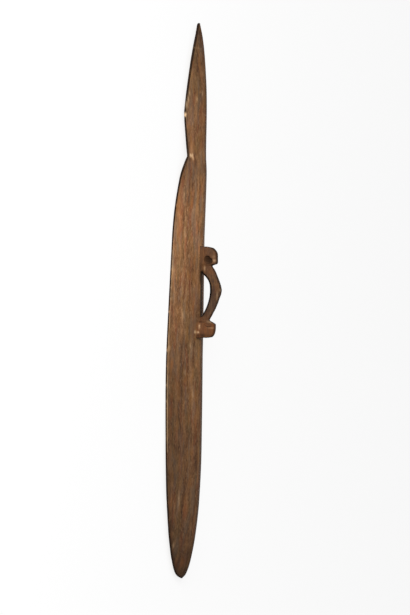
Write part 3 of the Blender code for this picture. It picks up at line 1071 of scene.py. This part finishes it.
# %% Rims and tone
BLACK_CORE, BLACK_FADE = 0.35, 0.0008  # share of the band that is full, and metres that it fades
BLACK_SHOWS = 0.0004  # width from which the band is there at all
SHADE_REACH = 0.020  # how far in from the rim the shade goes
RUB_START, RUB_EDGE, RUB_WIDTH, RUB_FADE = 0.5, 0.0010, 0.0026, 0.0036
RUB_SHOWS = (0.22, 0.62)  # noise at which the pale line starts to show, and is whole
RIM_PART, RIDGE_PART = (0.40, 0.75), (0.25, 0.60)  # of the half width
LEAST_HALF = 0.001  # the half width is nothing at the tip
WAVES, WAVE_POINTS = (0.045, 0.013), 1200


def read_table(table):
    """Value of a table at each point, by straight lines."""
    return np.interp(away, *zip(*table))


def by_side(near_table, far_table):
    """Values of two tables, one for each side of the ridge."""
    return np.where(points[:, 1] < 0, read_table(near_table), read_table(far_table))


def rough_line(*seeds):
    """Noise along the board, about 0 to 1, in a long and a short wave."""
    grid = np.linspace(0, length, WAVE_POINTS)
    waves = [
        [0.5 + 0.5 * noise.noise(Vector((place / wave, seed, 0.3))) for place in grid]
        for wave, seed in zip(WAVES, seeds)
    ]
    return list(zip(grid, np.mean(waves, axis=0)))


rub_noise = by_side(rough_line(1.7, 4.4), rough_line(6.2, 8.1))
black_width = by_side(NEAR_BLACK, FAR_BLACK)
black = 1 - soft_step(from_edge, BLACK_CORE * black_width, black_width + BLACK_FADE)
shade = by_side(NEAR_SHADE, FAR_SHADE) * (1 - soft_step(from_edge, 0.0, SHADE_REACH))
black = np.maximum(black * soft_step(black_width, 0.0, BLACK_SHOWS), shade)
rub_band = soft_step(from_edge, RUB_START * black_width, black_width + RUB_EDGE)
rub_band *= 1 - soft_step(from_edge, black_width + RUB_WIDTH, black_width + RUB_WIDTH + RUB_FADE)
wear_and_highlight = by_side(NEAR_RUB, FAR_RUB) * rub_band * soft_step(rub_noise, *RUB_SHOWS)
# Partly painted light: brightest in the upper middle and falling off towards the foot.
tone = along_curve(TONE_AND_LIGHT_ALONG, away)
share_out = from_middle / np.maximum(half_here, LEAST_HALF)
tone *= 1 + (read_table(RIM_TONE) - 1) * soft_step(share_out, *RIM_PART)
tone *= 1 + (read_table(RIDGE_TONE) - 1) * (1 - soft_step(share_out, *RIDGE_PART))
print("tone runs from", round(float(tone.min()), 2), "to", round(float(tone.max()), 2))

# %% [markdown]
# The handle is darker than the board, and stained with sweat where it is held. Under the grip, where
# shadow falls, a painted shade lies, soot-black where it is deepest. The tops get a lighter painted
# shade, and the blocks' ends are darkened. All of it could be one mask with ambient occlusion, but
# occlusion knows nothing of hands. So each is a product of soft steps, with its strength in front.

# %% The handle's finish
HANDLE_TONE = 0.42
UNDER_SHADE, UNDER_PART, UNDER_EASE = 1.85, (0.15, 0.27), 0.008
END_DARKENING, END_FACING = 0.80, (0.40, 0.80)
UPPER_END_DARKENING, UPPER_END_FACING, UPPER_END_UNTIL = 0.60, (0.15, 0.50), -0.140
TOP_SHADE, MORE_ABOVE, ELBOW_AT, TOP_FACING = 0.15, 0.35, -0.021, (0.45, 0.85)
HELD_EASE, LEAST_GRIP = 0.017, 0.35
BLOCK_WARMTH, MORE_BELOW, BELOW_AT = 0.42, 0.38, (0.070, 0.100)
OPEN_FROM, LEAST_BODY = 0.0005, 0.004  # metres of gap that count as open, and of wood above it

under = np.maximum(0.0, underside(along_handle))
top = along_curve(HANDLE_TOP, along_handle)
level = np.clip((over_ridge - under) / np.maximum(top - under, LEAST_BODY), 0, 1)
over_gap = (under > OPEN_FROM) & on_handle
# Painted shade on the grip's underside, soot-black where it is deepest.
shade_below_grip = over_gap * (1 - soft_step(level, *UNDER_PART)) * soft_step(under, 0.0, UNDER_EASE)
# The blocks' ends, and the upper block's top end, are darkened.
block_ends = on_handle * soft_step(np.abs(facing[:, 0]), *END_FACING) * ~over_gap
upper_end = on_handle * soft_step(-facing[:, 0], *UPPER_END_FACING) * (along_handle < UPPER_END_UNTIL)
# Painted shade on the handle's tops, stronger above the elbow.
top_shade = on_handle * soft_step(facing[:, 2], *TOP_FACING)
top_shade = top_shade * (TOP_SHADE + MORE_ABOVE * (along_handle < ELBOW_AT))
black[on_handle] = 0.0
wear_and_highlight[on_handle] = 0.0
tone[on_handle] = HANDLE_TONE
shades_and_darkening = [UNDER_SHADE * shade_below_grip, END_DARKENING * block_ends, UPPER_END_DARKENING * upper_end, top_shade]
black = np.maximum.reduce([black, *shades_and_darkening])
held = soft_step(under, 0.0, HELD_EASE)
grip = on_handle * (LEAST_GRIP + (1 - LEAST_GRIP) * held)
warm = on_handle * (BLOCK_WARMTH + MORE_BELOW * soft_step(along_handle, *BELOW_AT)) * (1 - held)
print("grime lies on", int((black[on_handle] > 0.5).sum()), "points of the handle")

# %% [markdown]
# The gouged hollows of the blocks are darkened, with dirt that nothing rubs off and with painted shade
# of the recess. The ridge and the far slope inside the opening are blackened, by hands and by painted
# shade of the grip. A brush in Vertex Paint mode could lay both, but their places are numbers already:
# those of the cutters and of the opening.

# %% Dirt and painted shade in the hollows and under the grip
# Dirt and painted shade in the blocks' hollows.
HOLLOW_DIRT_AND_SHADE = (0.85, 0.85, 0.25)  # one strength for each cutter
HOLLOW_DARK_SIZE, HOLLOW_DARK_DEPTH, HOLLOW_DARK_EDGE = 0.62, (0.0002, 0.0085), (0.60, 1.30)
# The ridge and far slope under the grip: hands' grime and painted shade of the grip.
HAND_AND_SHADE_STRENGTH, UNDER_GRIP_STRAY = 0.78, 0.05
UNDER_GRIP_START, UNDER_GRIP_END = (-0.130, -0.072), (0.062, 0.125)
UNDER_GRIP_NEAR, UNDER_GRIP_FAR = (-0.012, -0.003), (0.022, 0.105)
FURTHER_OUT, FURTHER_UNTIL = 0.008, (-0.055, -0.030)
BACK_FACING = 0.5  # a point whose normal rises less isn't the back's

side_depth = along_curve(HANDLE_HALF, along_handle) - from_middle
for (along, height, size, _), strength in zip(HOLLOWS, HOLLOW_DIRT_AND_SHADE):
    off_along = (along_handle - along) / (HOLLOW_DARK_SIZE * size[0])
    off_height = (over_ridge - height) / (HOLLOW_DARK_SIZE * size[2])
    inside = 1 - soft_step(off_along**2 + off_height**2, *HOLLOW_DARK_EDGE)
    black = np.maximum(black, strength * soft_step(side_depth, *HOLLOW_DARK_DEPTH) * inside * on_handle)

further = FURTHER_OUT * (1 - soft_step(along_handle, *FURTHER_UNTIL))
stray = UNDER_GRIP_STRAY * (rub_noise - 0.5)
hands_and_shade = soft_step(along_handle, *UNDER_GRIP_START) * (1 - soft_step(along_handle, *UNDER_GRIP_END))
hands_and_shade *= soft_step(points[:, 1] + further, *UNDER_GRIP_NEAR)
hands_and_shade *= 1 - soft_step(points[:, 1] + stray, *UNDER_GRIP_FAR)
on_back = (over_roof < HANDLE_RISE) & (facing[:, 2] > BACK_FACING)
black = np.maximum(black, HAND_AND_SHADE_STRENGTH * hands_and_shade * on_back)
print("hands have blackened", int((hands_and_shade * on_back > 0.5).sum()), "points of the board")

# %% [markdown]
# ## Single marks
#
# Chips, scuffs, brown places and dark knots sit where the picture shows them, and so do painted
# highlights on the handle's lit edges and painted shadows beside and below it. Each mark has the pixel
# it sits at, how far it reaches along and across the grain in metres, and how strong it is. Random
# marks would be less work, but a carved thing is known by the marks that it really has.

# %% Single marks
WEAR_AND_HIGHLIGHT_MARKS = [
    (185.2, 114.5, 0.006, 0.005, 1.0),  # chip on the head's corner
    (190.6, 155.4, 0.006, 0.005, 1.0),  # rubbed neck
    (192.4, 155.8, 0.008, 0.0045, 1.1),
    (193.2, 158.3, 0.006, 0.004, 0.7),
    (191.4, 150.5, 0.020, 0.012, 0.16),
    (189.5, 93.0, 0.010, 0.005, 0.30),  # scuffs along the head's edge
    (188.3, 99.0, 0.012, 0.005, 0.35),
    (186.9, 105.0, 0.012, 0.005, 0.35),
    (197.1, 99.0, 0.007, 0.004, 0.30),
    (202.5, 93.8, 0.010, 0.004, 0.22),
    (196.5, 48.0, 0.003, 0.034, 0.08),
    (183.9, 196.0, 0.028, 0.012, 0.18),
    (184.7, 233.5, 0.014, 0.003, 0.40),
    (172.7, 268.0, 0.040, 0.004, 0.28),
    (214.4, 260.6, 0.0045, 0.006, 0.30),  # lip of the upper block
    (213.8, 256.8, 0.005, 0.006, 0.10),
    # Painted highlights where light catches the grip's leg and elbow.
    (204.6, 268.2, 0.009, 0.0026, 0.20),  # leg of the grip
    (220.4, 289.9, 0.005, 0.004, 0.16),
    (217.0, 295.4, 0.014, 0.0022, 0.17),
    (199.3, 326.3, 0.010, 0.0030, 0.36),  # foot of the lower block
    (195.2, 332.1, 0.0045, 0.005, 0.72),
    (198.2, 332.2, 0.0035, 0.004, 0.45),
    # Painted light on the lower block's top face and on the ridge below it.
    (210.0, 321.8, 0.005, 0.010, 0.20),
    (211.0, 328.0, 0.0025, 0.010, 0.14),
    (183.0, 315.0, 0.014, 0.008, 0.22),
    (169.1, 348.0, 0.010, 0.005, 0.35),
    (190.2, 345.4, 0.009, 0.004, 0.26),
    (184.8, 373.0, 0.007, 0.004, 0.22),
    (192.7, 394.0, 0.014, 0.003, 0.20),
    (178.7, 499.8, 0.026, 0.006, 0.18),
    (173.4, 545.4, 0.010, 0.005, 0.24),
]
WARM_MARKS = [
    (201.7, 117.0, 0.050, 0.012, 0.35),
    (191.2, 149.0, 0.030, 0.014, 0.60),
    (193.3, 158.0, 0.012, 0.008, 0.80),
    (191.6, 193.0, 0.009, 0.007, 0.40),
    (191.9, 204.0, 0.011, 0.008, 0.35),
    (178.3, 232.0, 0.030, 0.012, 0.30),
    (199.0, 249.0, 0.028, 0.008, 0.50),
    (205.5, 254.0, 0.012, 0.012, 0.45),
    (196.7, 284.0, 0.030, 0.008, 0.30),
    (207.2, 313.5, 0.010, 0.008, 0.45),
    (216.4, 286.3, 0.010, 0.008, 0.30),
    (197.8, 328.0, 0.014, 0.010, 0.60),
    (210.7, 329.8, 0.009, 0.012, 0.75),
    (178.0, 203.0, 0.070, 0.018, 0.45),
    (172.0, 365.0, 0.018, 0.010, 0.65),
    (177.4, 378.0, 0.050, 0.014, 0.30),
    (172.8, 387.0, 0.014, 0.009, 0.50),
    (171.6, 397.0, 0.018, 0.010, 0.45),
    (196.4, 398.0, 0.022, 0.008, 0.30),
    (170.0, 413.0, 0.022, 0.009, 0.50),
    (196.0, 428.0, 0.045, 0.008, 0.55),
    (171.0, 502.0, 0.040, 0.010, 0.30),
    (184.5, 507.0, 0.030, 0.010, 0.35),
    (182.9, 561.8, 0.022, 0.018, 0.65),
]
BLACK_MARKS = [
    (189.9, 159.0, 0.007, 0.006, 0.60),
    # Dirt and painted shade in the upper block's hollow.
    (208.6, 262.6, 0.010, 0.011, 0.55),  # hollow of the upper block
    # Painted shadow where the grip's leg meets the board, deepest at the grip's root.
    (200.2, 268.0, 0.014, 0.006, 0.6),
    (202.2, 272.6, 0.009, 0.006, 1.6),  # root of the grip
    # Painted shadow on the board beyond the lower block's end.
    (202.5, 335.4, 0.007, 0.012, 0.8),  # beyond the lower block's end
    (198.0, 336.0, 0.006, 0.010, 0.6),
    (207.5, 335.6, 0.005, 0.020, 0.35),
    (184.5, 348.0, 0.030, 0.010, 0.20),
    (178.2, 405.0, 0.022, 0.010, 0.25),
    (177.0, 417.0, 0.016, 0.009, 0.30),
    (190.6, 517.0, 0.030, 0.012, 0.28),
]
print(len(WEAR_AND_HIGHLIGHT_MARKS), "worn,", len(WARM_MARKS), "warm and", len(BLACK_MARKS), "black marks")

# %% [markdown]
# The marks could be pinned to points of the mesh, but those change with every change of the net.
# So a ray from the camera finds each place on the surface, and a soft patch is laid round it. Then
# each finish is stored on the points, where the wood's tree reads it. The net's own attributes
# have done their work and go.

# %% Lay the marks and store the attributes
SHARP_ANGLE = math.radians(48)
MOST = 2.0  # black goes past 1, into painted deep shade


def lay_marks(values, marks):
    """Lays a soft patch round each mark's place on the surface."""
    for x, y, long, wide, strength in marks:
        hit, spot, _, _ = shield.ray_cast(eye, pixel_ray(x, y))
        if not hit:
            print("no surface at", x, y)
            continue
        offset = points - np.array(spot)
        reach = (offset[:, 0] / long) ** 2 + (offset[:, 1] ** 2 + offset[:, 2] ** 2) / wide**2
        values = np.maximum(values, strength * np.exp(-reach))
    return values


painted = {
    "black": lay_marks(black, BLACK_MARKS),
    "wear_and_highlight": lay_marks(wear_and_highlight, WEAR_AND_HIGHLIGHT_MARKS),
    "warm": lay_marks(warm, WARM_MARKS),
    "grip": grip,
    "tone": tone,
}
for name, values in painted.items():
    store = shield.data.attributes.new(name, "FLOAT", "POINT")
    store.data.foreach_set("value", np.clip(values, 0, MOST).astype(np.float32))
for name in carried:
    left_over = shield.data.attributes.get(name)
    if left_over:
        shield.data.attributes.remove(left_over)
shield.data.shade_smooth()
shield.data.set_sharp_from_angle(angle=SHARP_ANGLE)
print("attributes:", [attribute.name for attribute in shield.data.attributes])

# %% [markdown]
# ## Floor and light
#
# The picture shows the shield on plain pale ground in soft studio light. The floor here is one
# disc, and it glows a little so that it stays nearly white, with a faint shadow. One large soft
# lamp stands on the camera's side, towards the head: the near slope is lit, the far one falls away
# and the handle is modelled. A pale world fills the shadows. Several lamps could copy a studio,
# but one is enough for a thing with so few faces. The standard view transform keeps white white.

# %% Floor, lamp and world
FLOOR_REACH = 60.0
FLOOR_COLOUR = (0.15, 0.15, 0.15, 1.0)
FLOOR_GLOW = 0.84
FLOOR_ROUGHNESS, FLOOR_GLOSS = 0.9, 0.1
WHITE = (1.0, 1.0, 1.0, 1.0)
WORLD_STRENGTH = 0.40
LAMP_PLACE = Vector((-3.15, -7.85, 3.08))
LAMP_TARGET = Vector((-0.1, 0.0, 0.05))
LAMP_SIZE = 4.3
LAMP_POWER = 1250.0


def make_floor():
    bm = bmesh.new()
    bmesh.ops.create_circle(bm, cap_ends=True, segments=64, radius=FLOOR_REACH)
    floor = object_of(bm, "floor")
    material = bpy.data.materials.new("pale_floor")
    material.use_nodes = True
    shader = material.node_tree.nodes["Principled BSDF"]
    shader.inputs["Base Color"].default_value = FLOOR_COLOUR
    shader.inputs["Emission Color"].default_value = WHITE
    shader.inputs["Emission Strength"].default_value = FLOOR_GLOW
    shader.inputs["Roughness"].default_value = FLOOR_ROUGHNESS
    shader.inputs["Specular IOR Level"].default_value = FLOOR_GLOSS
    floor.data.materials.append(material)
    return floor


floor = make_floor()

lamp_data = bpy.data.lights.new("key_lamp", "AREA")
lamp_data.shape = "SQUARE"
lamp_data.size = LAMP_SIZE
lamp_data.energy = LAMP_POWER
lamp = bpy.data.objects.new("key_lamp", lamp_data)
lamp.location = LAMP_PLACE
lamp.rotation_euler = (LAMP_TARGET - LAMP_PLACE).to_track_quat("-Z", "Y").to_euler()
lamp.visible_camera = False
bpy.context.scene.collection.objects.link(lamp)

world = bpy.data.worlds.new("pale_world")
world.use_nodes = True
sky = world.node_tree.nodes["Background"]
sky.inputs["Color"].default_value = WHITE
sky.inputs["Strength"].default_value = WORLD_STRENGTH
bpy.context.scene.world = world
bpy.context.scene.view_settings.view_transform = "Standard"
print("lamp of", LAMP_POWER, "W,", round((LAMP_PLACE - LAMP_TARGET).length, 2), "m away")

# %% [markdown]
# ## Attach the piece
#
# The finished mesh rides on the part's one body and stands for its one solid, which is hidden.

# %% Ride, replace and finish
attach(shield, "root")
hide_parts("shield")
